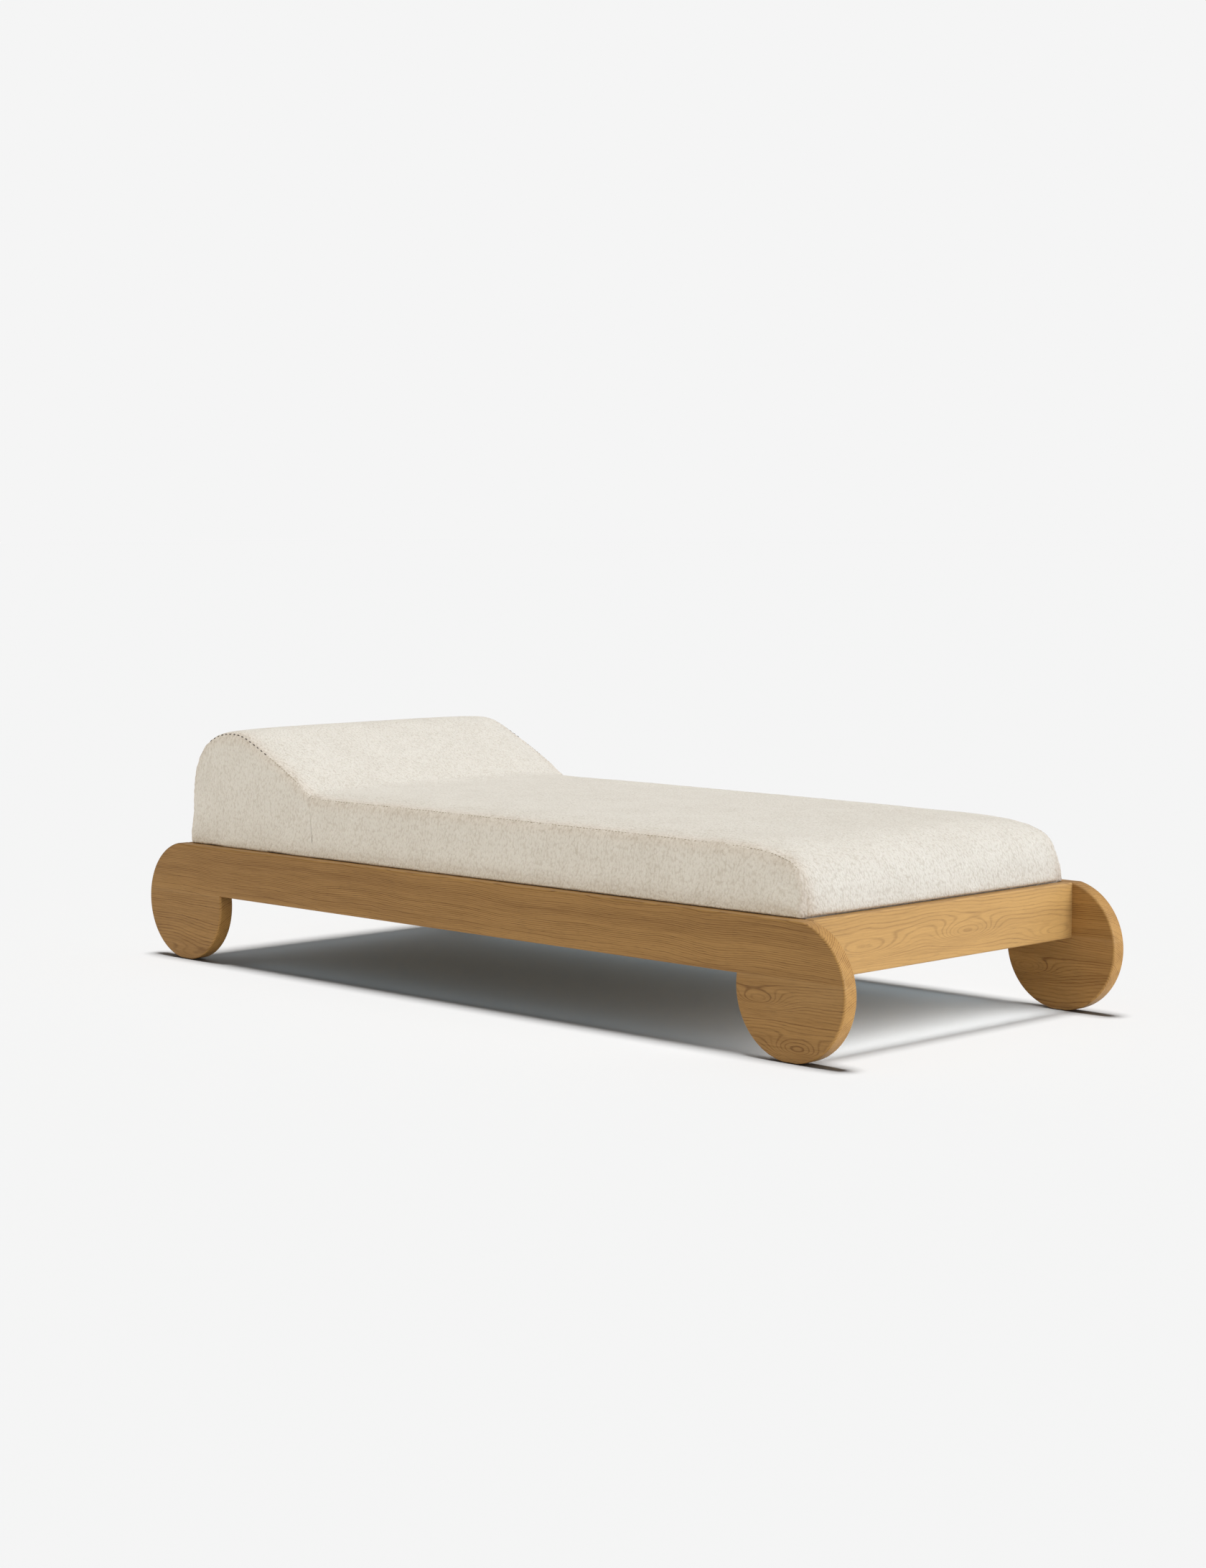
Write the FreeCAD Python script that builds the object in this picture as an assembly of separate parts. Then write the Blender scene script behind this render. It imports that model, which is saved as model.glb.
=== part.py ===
"""Low daybed sofa: a frame of solid oak boards on four round feet, a slatted
base, and one loose seat cushion with a raised bolster at its head end.

Millimetres.  +X runs to the foot end, +Y to the far long side, +Z is up.
The origin is on the floor, under the middle of the object.
Each separate physical piece is written as one solid, in parts/NAME.step.
Identical fasteners share a file as a group of separate solids.
"""
import FreeCAD, Part
import math
import os

V = FreeCAD.Vector
os.makedirs("parts", exist_ok=True)

# ---- driving dimensions: oak frame -----------------------------------------
foot_spacing = 1855.0         # between the centres of the round feet, along X
frame_width = 872.0           # outer face to outer face of the side boards, Y
foot_radius = 135.0           # radius of each round foot
foot_flat = 1.0               # height of the small flat under each foot
side_thickness = 35.0         # side boards and feet
side_height = 111.5           # side boards, underside to top
top_drop = 3.0                # board tops below the crown of a full round
end_thickness = 27.0          # head and foot boards
end_height = 114.5            # end boards, underside to top
end_overhang = 30.0           # end board outer face beyond the foot centres
edge_round = 4.0              # roundover on the long edges of the boards

# ---- driving dimensions: slatted base --------------------------------------
slat_drop = 39.0              # slat tops below the board tops
slat_thickness = 18.0
slat_width = 70.0
slat_count = 13
slat_end_gap = 2.0            # slat end to the side board
slat_round = 2.0
ledger_height = 30.0
ledger_depth = 30.0
ledger_end_gap = 5.0          # ledger end to the corner bracket

# ---- driving dimensions: hardware ------------------------------------------
bracket_leg = 60.0
bracket_height = 45.0
bracket_plate = 3.0
bracket_drop = 4.0            # bracket top below the slats' underside
screw_radius = 2.25
screw_head_radius = 4.5
screw_head_height = 2.4
screw_recess = 0.4            # slat screw heads below the slats' tops
bracket_screw_length = 22.0   # under the head
ledger_screw_length = 48.0
slat_screw_length = 40.0
dowel_radius = 5.0
corner_dowel_depth = 24.0     # into each of the two boards
corner_dowel_shares = (0.38, 0.76)   # heights, as shares of the end board's height
bracket_screw_shares = (0.4, 0.8)    # places along a bracket's leg
foot_dowel_depth = 24.0       # into the foot and into the board above
foot_dowel_reach = 75.0       # outer dowels from the foot's centre line
glide_length = 28.0
glide_width = 22.0
glide_thickness = 3.0
glide_corner = 5.5            # radius of the glides' upright edges

# ---- driving dimensions: cushion -------------------------------------------
seat_rise = 139.0             # seat above the rail top
bolster_rise = 127.0          # bolster crest above the seat
bolster_length = 425.0        # head face to the toe of the slope
crest_back = 124.0            # head face to the start of the crest
crest_length = 80.0
crest_fall = 15.0             # drop across the crest, before the slope
crest_swell = 6.4             # crest stands off its chord
head_swell = 25.5             # upper head corner stands off its chord
head_round_height = 102.0     # height of the rounded upper head corner
head_bulge = 18.0             # head face stands out over the head board
bulge_height = 14.0           # height over which the head face swells out
foot_corner_radius = 60.0
cover_thickness = 2.5
comfort_thickness = 45.0

# ---- driving dimensions: zip -----------------------------------------------
zip_height = 35.0             # chain's centre above the rail top
zip_end_margin = 40.0
chain_height = 5.0
chain_proud = 1.4
slider_length = 12.0
slider_height = 9.0
slider_plate = 2.4
ear_thickness = 1.6
ear_reach = 3.4
pin_radius = 0.8
pull_length = 24.0
pull_width = 4.4
pull_thickness = 1.6

# ---- clearances ------------------------------------------------------------
cushion_side_gap = 7.5        # cushion to the side boards, each side
cushion_end_gap = 4.5         # cushion to the end boards, each end
rest_gap = 0.3                # between the cushion and what it rests on
overhang_gap = 4.0            # head bulge above the head board
hole_gap = 0.05               # radial, screws and dowels in their holes
dowel_end_gap = 0.5
glide_gap = 0.2
zip_gap = 0.3
pin_gap = 0.06
eye_gap = 0.1                 # zip pull's eye inside the slider's ears
hole_overrun = 1.0            # holes and recesses cut past the face they start from

tolerance = 0.01              # for telling edges apart

# ---- places worked out from the dimensions ---------------------------------
half_width = frame_width / 2
rail_top = 2 * foot_radius - top_drop
side_underside = rail_top - side_height
end_underside = rail_top - end_height
slat_top = rail_top - slat_drop
inner_half_width = half_width - side_thickness
foot_x = foot_spacing / 2
end_outer_x = foot_x + end_overhang
end_inner_x = end_outer_x - end_thickness
slat_underside = slat_top - slat_thickness
ledger_underside = slat_underside - ledger_height
bracket_top = slat_underside - bracket_drop
ledger_half_length = end_inner_x - bracket_leg - ledger_end_gap
slat_run = ledger_half_length - ledger_end_gap - slat_width / 2
slat_pitch = 2 * slat_run / (slat_count - 1)
board_middle_y = half_width - side_thickness / 2
board_middle_x = end_outer_x - end_thickness / 2
cushion_half_width = inner_half_width - cushion_side_gap
cushion_bottom = slat_top + rest_gap
cushion_head_x = -(end_inner_x - cushion_end_gap)
cushion_foot_x = end_inner_x - cushion_end_gap
head_face_x = cushion_head_x - head_bulge
seat_z = rail_top + seat_rise
crest_z = seat_z + bolster_rise
toe_x = head_face_x + bolster_length
zip_z = rail_top + zip_height

NEAR, FAR = -1, 1
HEAD, FOOT = -1, 1
SIDE_NAMES = {NEAR: "near", FAR: "far"}
END_NAMES = {HEAD: "head", FOOT: "foot"}


# ---- small helpers ---------------------------------------------------------
def box(x0, x1, y0, y1, z0, z1):
    """Box between two corners, given in any order."""
    low = V(min(x0, x1), min(y0, y1), min(z0, z1))
    return Part.makeBox(abs(x1 - x0), abs(y1 - y0), abs(z1 - z0), low)


def rod(radius, start, direction, length):
    return Part.makeCylinder(radius, length, start, direction)


def save(name, shape):
    shape.exportStep("parts/" + name + ".step")
    volume = shape.Volume / 1000.0
    print(f"{name:30s} solids {len(shape.Solids):3d} valid {shape.isValid()} cm3 {volume:10.3f}")


def round_edges(shape, radius, keep):
    """Roundover on every edge that keep(edge) picks."""
    return shape.makeFillet(radius, [e for e in shape.Edges if keep(e)])


def runs_along(edge, direction):
    """True for a straight edge along the direction."""
    if edge.Curve.TypeId != "Part::GeomLine":
        return False
    return edge.Curve.Direction.cross(direction).Length < tolerance


def pan_screw(seat, direction, length):
    """Screw whose head sits on the point seat and whose shank runs along direction."""
    shank = rod(screw_radius, seat, direction, length)
    head = rod(screw_head_radius, seat - direction * screw_head_height, direction, screw_head_height)
    return head.fuse(shank).removeSplitter()


def screw_hole(seat, direction, length):
    start = seat - direction * hole_overrun
    return rod(screw_radius + hole_gap, start, direction, hole_overrun + length + dowel_end_gap)


def dowel(middle, direction, depth):
    """Glued dowel that reaches the same depth to both sides of its middle."""
    half = depth - dowel_end_gap
    return rod(dowel_radius, middle - direction * half, direction, 2 * half)


def dowel_hole(middle, direction, depth):
    return rod(dowel_radius + hole_gap, middle - direction * depth, direction, 2 * depth)


# ---- fastener places, shared by the fasteners and their holes --------------
def corner_dowel_points():
    points = []
    for end in (HEAD, FOOT):
        for side in (NEAR, FAR):
            for share in corner_dowel_shares:
                z = end_underside + share * (rail_top - end_underside)
                points.append(V(end * board_middle_x, side * inner_half_width, z))
    return points


def foot_dowel_points():
    points = []
    for end in (HEAD, FOOT):
        for side in (NEAR, FAR):
            for step in (-1, 0, 1):
                x = end * foot_x + step * foot_dowel_reach
                points.append(V(x, side * board_middle_y, side_underside))
    return points


def bracket_screw_seats():
    """Seat point and direction of each screw through the corner brackets."""
    seats = []
    z = bracket_top - bracket_height / 2
    for end in (HEAD, FOOT):
        for side in (NEAR, FAR):
            for share in bracket_screw_shares:
                reach = share * bracket_leg
                on_side = V(end * (end_inner_x - reach), side * (inner_half_width - bracket_plate), z)
                on_end = V(end * (end_inner_x - bracket_plate), side * (inner_half_width - reach), z)
                seats.append((on_side, V(0, side, 0)))
                seats.append((on_end, V(end, 0, 0)))
    return seats


def slat_x(index):
    return -slat_run + index * slat_pitch


def ledger_screw_seats():
    """Screws through the ledgers, each midway between two slats."""
    seats = []
    z = (slat_underside + ledger_underside) / 2
    for side in (NEAR, FAR):
        for gap in range(0, slat_count - 1, 2):
            x = slat_x(gap) + slat_pitch / 2
            seats.append((V(x, side * (inner_half_width - ledger_depth), z), V(0, side, 0)))
    return seats


def slat_screw_seats():
    """One screw at each end of each slat, its head let into the slat."""
    seats = []
    y = inner_half_width - ledger_depth / 2
    z = slat_top - screw_head_height - screw_recess
    for index in range(slat_count):
        for side in (NEAR, FAR):
            seats.append((V(slat_x(index), side * y, z), V(0, 0, -1)))
    return seats


def cut_dowels(shape, points, direction, depth):
    for point in points:
        shape = shape.cut(dowel_hole(point, direction, depth))
    return shape


def cut_screws(shape, seats, length):
    for seat, direction in seats:
        shape = shape.cut(screw_hole(seat, direction, length))
    return shape


# ---- frame boards ----------------------------------------------------------
def side_outline():
    """Face of one long side: a straight board that ends in a full round at each end.

    Each round is a circle about the foot's centre, cut flat at the floor and
    by the board's top; between the rounds the board's underside is straight.
    """
    def reach(height):
        return math.sqrt(foot_radius ** 2 - (height - foot_radius) ** 2)

    top = foot_x + reach(rail_top)
    under = foot_x - reach(side_underside)
    flat = reach(foot_flat)
    edges = [Part.makeLine(V(-top, 0, rail_top), V(top, 0, rail_top))]
    outer = [V(top, 0, rail_top), V(foot_x + foot_radius, 0, foot_radius), V(foot_x + flat, 0, foot_flat)]
    inner = [V(foot_x - flat, 0, foot_flat), V(foot_x - foot_radius, 0, foot_radius),
             V(under, 0, side_underside)]
    edges.append(Part.Arc(*outer).toShape())
    edges.append(Part.makeLine(outer[2], inner[0]))
    edges.append(Part.Arc(*inner).toShape())
    edges.append(Part.makeLine(inner[2], V(-under, 0, side_underside)))
    for arc in (inner, outer):
        mirrored = [V(-p.x, 0, p.z) for p in reversed(arc)]
        edges.append(Part.Arc(*mirrored).toShape())
        if arc is inner:
            edges.append(Part.makeLine(mirrored[2], V(-outer[2].x, 0, foot_flat)))
    return Part.Face(Part.Wire(Part.__sortEdges__(edges)))


def full_side(side):
    """Whole side before it is divided at the glue line over each foot."""
    solid = side_outline().extrude(V(0, side_thickness, 0))
    solid.translate(V(0, -side_thickness / 2, 0))

    def on_a_face(edge):
        ys = [abs(v.Point.y) for v in edge.Vertexes]
        return min(ys) > side_thickness / 2 - tolerance and not runs_along(edge, V(0, 1, 0))

    solid = round_edges(solid, edge_round, on_a_face)
    solid.translate(V(0, side * board_middle_y, 0))
    return solid


def make_sides():
    far_x = foot_x + 2 * foot_radius
    for side in (NEAR, FAR):
        whole = full_side(side)
        whole = cut_dowels(whole, corner_dowel_points(), V(0, 1, 0), corner_dowel_depth)
        whole = cut_dowels(whole, foot_dowel_points(), V(0, 0, 1), foot_dowel_depth)
        whole = cut_screws(whole, [s for s in bracket_screw_seats() if s[1].y == side], bracket_screw_length)
        whole = cut_screws(whole, [s for s in ledger_screw_seats() if s[1].y == side], ledger_screw_length)
        upper = box(-far_x, far_x, -frame_width, frame_width, side_underside, 2 * rail_top)
        save(SIDE_NAMES[side] + "_side_board", whole.common(upper))
        for end in (HEAD, FOOT):
            lower = box(0, end * far_x, -frame_width, frame_width, -1, side_underside)
            foot = whole.common(lower).cut(glide_pocket(side, end))
            save(foot_name(side, end), foot)


def foot_name(side, end):
    return SIDE_NAMES[side] + "_" + END_NAMES[end] + "_round_foot"


def glide_pocket(side, end):
    x = end * foot_x
    y = side * board_middle_y
    half_l = glide_length / 2 + glide_gap
    half_w = glide_width / 2 + glide_gap
    return box(x - half_l, x + half_l, y - half_w, y + half_w, 0, glide_thickness)


def make_glides():
    """Nylon glides let into the flats of the feet; they carry the object."""
    for side in (NEAR, FAR):
        for end in (HEAD, FOOT):
            x = end * foot_x
            y = side * board_middle_y
            glide = box(x - glide_length / 2, x + glide_length / 2,
                        y - glide_width / 2, y + glide_width / 2, 0, glide_thickness)
            glide = round_edges(glide, glide_corner, lambda e: runs_along(e, V(0, 0, 1)))
            save(SIDE_NAMES[side] + "_" + END_NAMES[end] + "_floor_glide", glide)


def make_end_boards():
    """Head and foot boards, between the side boards."""
    for end in (HEAD, FOOT):
        board = box(end * end_inner_x, end * end_outer_x, -inner_half_width, inner_half_width,
                    end_underside, rail_top)
        board = round_edges(board, edge_round, lambda e: runs_along(e, V(0, 1, 0)))
        board = cut_dowels(board, corner_dowel_points(), V(0, 1, 0), corner_dowel_depth)
        board = cut_screws(board, [s for s in bracket_screw_seats() if s[1].x == end], bracket_screw_length)
        save(END_NAMES[end] + "_end_board", board)


# ---- slatted base ----------------------------------------------------------
def make_ledgers():
    for side in (NEAR, FAR):
        ledger = box(-ledger_half_length, ledger_half_length,
                     side * inner_half_width, side * (inner_half_width - ledger_depth),
                     ledger_underside, slat_underside)
        ledger = cut_screws(ledger, [s for s in ledger_screw_seats() if s[1].y == side], ledger_screw_length)
        ledger = cut_screws(ledger, slat_screw_seats(), slat_screw_length)
        save(SIDE_NAMES[side] + "_slat_ledger", ledger)


def make_slats():
    half_length = inner_half_width - slat_end_gap
    for index in range(slat_count):
        x = slat_x(index)
        slat = box(x - slat_width / 2, x + slat_width / 2, -half_length, half_length,
                   slat_underside, slat_top)
        slat = round_edges(slat, slat_round, lambda e: runs_along(e, V(0, 1, 0)))
        for seat, direction in slat_screw_seats():
            if abs(seat.x - x) < slat_pitch / 2:
                slat = slat.cut(screw_hole(seat, direction, slat_screw_length))
                height = screw_head_height + hole_overrun
                recess = rod(screw_head_radius + hole_gap, seat - direction * height, direction, height)
                slat = slat.cut(recess)
        save(f"slat_{index + 1:02d}", slat)


# ---- hardware --------------------------------------------------------------
def make_brackets():
    """Pressed steel angles that hold the end boards to the side boards."""
    for side in (NEAR, FAR):
        for end in (HEAD, FOOT):
            x = end * end_inner_x
            y = side * inner_half_width
            bottom = bracket_top - bracket_height
            along = box(x, x - end * bracket_leg, y, y - side * bracket_plate, bottom, bracket_top)
            across = box(x, x - end * bracket_plate, y, y - side * bracket_leg, bottom, bracket_top)
            angle = along.fuse(across).removeSplitter()
            for seat, direction in bracket_screw_seats():
                near_x = abs(seat.x - x) < bracket_leg
                near_y = abs(seat.y - y) < bracket_leg
                if near_x and near_y:
                    angle = angle.cut(screw_hole(seat, direction, bracket_screw_length))
            save(SIDE_NAMES[side] + "_" + END_NAMES[end] + "_corner_bracket", angle)


def make_fasteners():
    groups = {
        "bracket_screws": [pan_screw(s, d, bracket_screw_length) for s, d in bracket_screw_seats()],
        "ledger_screws": [pan_screw(s, d, ledger_screw_length) for s, d in ledger_screw_seats()],
        "slat_screws": [pan_screw(s, d, slat_screw_length) for s, d in slat_screw_seats()],
        "corner_dowels": [dowel(p, V(0, 1, 0), corner_dowel_depth) for p in corner_dowel_points()],
        "foot_dowels": [dowel(p, V(0, 0, 1), foot_dowel_depth) for p in foot_dowel_points()],
    }
    for name, solids in groups.items():
        save(name, Part.makeCompound(solids))


# ---- cushion ---------------------------------------------------------------
def arc_over(start, end, rise):
    """Arc from start to end, whose middle stands off the chord by rise, to its left."""
    chord = end - start
    normal = V(-chord.z, 0, chord.x)
    normal.normalize()
    return Part.Arc(start, (start + end) * 0.5 + normal * rise, end).toShape()


def cushion_outline():
    """Lengthwise section: flat seat, raised bolster with a long slope, rounded ends."""
    base_head = V(cushion_head_x, 0, cushion_bottom)
    over_rail = V(cushion_head_x, 0, rail_top + overhang_gap)
    swell = V(head_face_x, 0, rail_top + overhang_gap + bulge_height)
    head_shoulder = V(head_face_x, 0, crest_z - head_round_height)
    crest_start = V(head_face_x + crest_back, 0, crest_z)
    crest_end = V(crest_start.x + crest_length, 0, crest_z - crest_fall)
    toe = V(toe_x, 0, seat_z)
    foot_top = V(cushion_foot_x - foot_corner_radius, 0, seat_z)
    foot_side = V(cushion_foot_x, 0, seat_z - foot_corner_radius)
    base_foot = V(cushion_foot_x, 0, cushion_bottom)
    edges = [
        Part.makeLine(base_head, over_rail),
        Part.makeLine(over_rail, swell),
        Part.makeLine(swell, head_shoulder),
        arc_over(head_shoulder, crest_start, head_swell),
        arc_over(crest_start, crest_end, crest_swell),
        Part.makeLine(crest_end, toe),
        Part.makeLine(toe, foot_top),
        arc_over(foot_top, foot_side, foot_corner_radius * (1 - math.sqrt(0.5))),
        Part.makeLine(foot_side, base_foot),
        Part.makeLine(base_foot, base_head),
    ]
    return Part.Face(Part.Wire(edges))


def slab(face, half_width_y):
    """Solid as wide as 2 * half_width_y about the middle plane."""
    solid = face.extrude(V(0, 2 * half_width_y, 0))
    solid.translate(V(0, -half_width_y, 0))
    return solid


def make_cushion():
    """Foam inside a cover of sewn panels, each panel a thin solid of its own."""
    outer = cushion_outline()
    inner = outer.makeOffset2D(-cover_thickness)
    foam_half = cushion_half_width - cover_thickness
    foam = slab(inner, foam_half)
    big = 4 * foot_spacing
    core_top = seat_z - cover_thickness - comfort_thickness
    foam_top = seat_z - cover_thickness
    save("seat_foam_core", foam.common(box(-big, big, -big, big, 0, core_top)))
    save("seat_comfort_layer", foam.common(box(-big, big, -big, big, core_top, foam_top)))
    save("bolster_foam", foam.common(box(-big, big, -big, big, foam_top, big)))

    for side in (NEAR, FAR):
        panel = slab(outer, cover_thickness / 2)
        panel.translate(V(0, side * (cushion_half_width - cover_thickness / 2), 0))
        save(SIDE_NAMES[side] + "_bolster_side_panel", panel.common(box(-big, toe_x, -big, big, 0, big)))
        save(SIDE_NAMES[side] + "_seat_side_panel", panel.common(box(toe_x, big, -big, big, 0, big)))

    band = slab(outer, foam_half).cut(foam)
    bottom_line = cushion_bottom + cover_thickness
    foot_line = seat_z - foot_corner_radius
    head_line = crest_z - head_round_height
    head_zone = box(-big, head_face_x + crest_back, -big, big, bottom_line, head_line)
    foot_zone = box(toe_x, big, -big, big, bottom_line, foot_line)
    save("cover_bottom_panel", band.common(box(-big, big, -big, big, 0, bottom_line)))
    save("cover_foot_panel", band.common(foot_zone))
    save("cover_head_panel", band.common(head_zone))
    save("cover_seat_panel", band.common(box(toe_x, big, -big, big, foot_line, big)))
    save("cover_bolster_panel", band.common(box(-big, toe_x, -big, big, bottom_line, big)).cut(head_zone))


# ---- zip on the far side of the cover --------------------------------------
def make_zip():
    chain_start = toe_x + zip_end_margin
    chain_end = cushion_foot_x - zip_end_margin
    face_y = cushion_half_width
    chain_face = face_y + chain_proud
    chain = box(chain_start, chain_end, face_y, chain_face,
                zip_z - chain_height / 2, zip_z + chain_height / 2)
    save("zip_chain", chain)

    x = chain_start + slider_length
    plate_y = chain_face + zip_gap
    plate_face = plate_y + slider_plate
    pin_y = plate_face + ear_reach / 2
    pin_z = zip_z + slider_height / 4
    plate = box(x - slider_length / 2, x + slider_length / 2, plate_y, plate_face,
                zip_z - slider_height / 2, zip_z + slider_height / 2)
    ear_inner = pull_width / 2 + zip_gap
    ear_outer = ear_inner + ear_thickness
    slider = plate
    for side in (-1, 1):
        ear = box(x + side * ear_inner, x + side * ear_outer, plate_face, plate_face + ear_reach,
                  pin_z - ear_reach / 2, pin_z + ear_reach / 2)
        slider = slider.fuse(ear)
    pin = rod(pin_radius, V(x - ear_outer, pin_y, pin_z), V(1, 0, 0), 2 * ear_outer)
    slider = slider.fuse(pin).removeSplitter()
    save("zip_slider", slider)

    eye_radius = ear_reach / 2 - eye_gap
    eye = rod(eye_radius, V(x - pull_width / 2, pin_y, pin_z), V(1, 0, 0), pull_width)
    tongue = box(x - pull_width / 2, x + pull_width / 2,
                 pin_y - pull_thickness / 2, pin_y + pull_thickness / 2,
                 pin_z - pull_length, pin_z)
    pull = eye.fuse(tongue)
    pull = pull.cut(rod(pin_radius + pin_gap, V(x - pull_width, pin_y, pin_z), V(1, 0, 0), 2 * pull_width))
    save("zip_pull", pull.removeSplitter())
    print(f"zip pull pivot {x:.3f} {pin_y:.3f} {pin_z:.3f}")


make_sides()
make_end_boards()
make_glides()
make_ledgers()
make_slats()
make_brackets()
make_fasteners()
make_cushion()
make_zip()
print(f"overall {2 * (foot_x + foot_radius):.1f} x {frame_width:.1f} x {crest_z:.1f}")
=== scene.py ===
"""Looks of a low daybed sofa: oiled oak frame on round feet, pine slats, and
one loose cushion in short-pile boucle with a sloped bolster at its head end.

Metres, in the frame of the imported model: +X to the foot end, +Z up.
"""

import math

import bmesh
import bpy
import numpy as np
from mathutils import Matrix, Vector


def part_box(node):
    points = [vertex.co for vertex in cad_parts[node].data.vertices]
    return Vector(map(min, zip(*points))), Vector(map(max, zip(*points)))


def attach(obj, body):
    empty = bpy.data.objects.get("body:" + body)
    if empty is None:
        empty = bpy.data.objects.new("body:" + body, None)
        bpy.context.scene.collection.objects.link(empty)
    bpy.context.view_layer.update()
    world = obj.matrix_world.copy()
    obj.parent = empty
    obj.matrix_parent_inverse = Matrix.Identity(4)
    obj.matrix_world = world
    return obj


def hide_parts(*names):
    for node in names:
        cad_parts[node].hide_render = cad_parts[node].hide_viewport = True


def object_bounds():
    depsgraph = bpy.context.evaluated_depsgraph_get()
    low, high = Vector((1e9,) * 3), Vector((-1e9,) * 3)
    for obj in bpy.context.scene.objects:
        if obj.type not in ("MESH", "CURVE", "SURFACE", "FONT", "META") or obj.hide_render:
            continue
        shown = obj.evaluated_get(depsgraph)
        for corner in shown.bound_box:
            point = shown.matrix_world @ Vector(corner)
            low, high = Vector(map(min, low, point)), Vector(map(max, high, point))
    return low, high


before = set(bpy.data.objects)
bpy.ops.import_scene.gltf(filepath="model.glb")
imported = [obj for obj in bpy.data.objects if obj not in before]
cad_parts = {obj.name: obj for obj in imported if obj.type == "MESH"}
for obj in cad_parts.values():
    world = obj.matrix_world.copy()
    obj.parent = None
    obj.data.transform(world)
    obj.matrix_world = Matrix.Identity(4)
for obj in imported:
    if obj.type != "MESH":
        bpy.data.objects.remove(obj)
cad_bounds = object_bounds()
MM = 0.001
rng = np.random.default_rng(7)


# ---- places read from the frame ---------------------------------------------
def span(node):
    """Lowest and highest corner of a node as two arrays."""
    low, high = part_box(node)
    return np.array(low), np.array(high)


side_low, side_high = span("near_side_board")
foot_low, foot_high = span("near_foot_round_foot")
FOOT_X = (foot_low[0] + foot_high[0]) / 2
FOOT_R = cad_bounds[1][0] - FOOT_X
FOOT_FLAT = foot_low[2]
UNDERSIDE = side_low[2]
RAIL_TOP = side_high[2]
SIDE_T = side_high[1] - side_low[1]
HALF_WIDTH = -side_low[1]
ROUNDOVER = 4.5 * MM

cushion_low, cushion_high = span("cover_bottom_panel")
CUSHION_Z = cushion_low[2]
SIDE_FACE = span("far_seat_side_panel")[1][1]
HEAD_FACE = span("cover_head_panel")[0][0]
HEAD_BASE = cushion_low[0]
FOOT_FACE = cushion_high[0]
SEAT_Z = span("seat_comfort_layer")[1][2]
ZIP_LOW, ZIP_HIGH = span("zip_chain")


# ---- materials ---------------------------------------------------------------
def colour(code):
    """Linear RGBA of an sRGB hex value."""
    parts = [int(code[i:i + 2], 16) / 255 for i in (1, 3, 5)]
    return tuple(c / 12.92 if c <= 0.04045 else ((c + 0.055) / 1.055) ** 2.4 for c in parts) + (1.0,)


def add(tree, kind, inputs=None, stops=(), **settings):
    """Adds a node.  An input takes a value, an output socket, or a node for its first
    output; stops are the (place, hex) pairs of a colour ramp."""
    node = tree.nodes.new("ShaderNode" + kind)
    for name, value in settings.items():
        setattr(node, name, value)
    for key, value in (inputs or {}).items():
        socket = node.inputs[key]
        if isinstance(value, bpy.types.Node):
            value = value.outputs[0]
        if isinstance(value, bpy.types.NodeSocket):
            tree.links.new(value, socket)
        else:
            socket.default_value = value
    for element, (place, code) in zip(node.color_ramp.elements if stops else (), stops):
        element.position = place
        element.color = colour(code)
    return node


def blank(name):
    """New material with an empty node tree."""
    material = bpy.data.materials.new(name)
    material.use_nodes = True
    material.node_tree.nodes.clear()
    return material, material.node_tree


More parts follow.
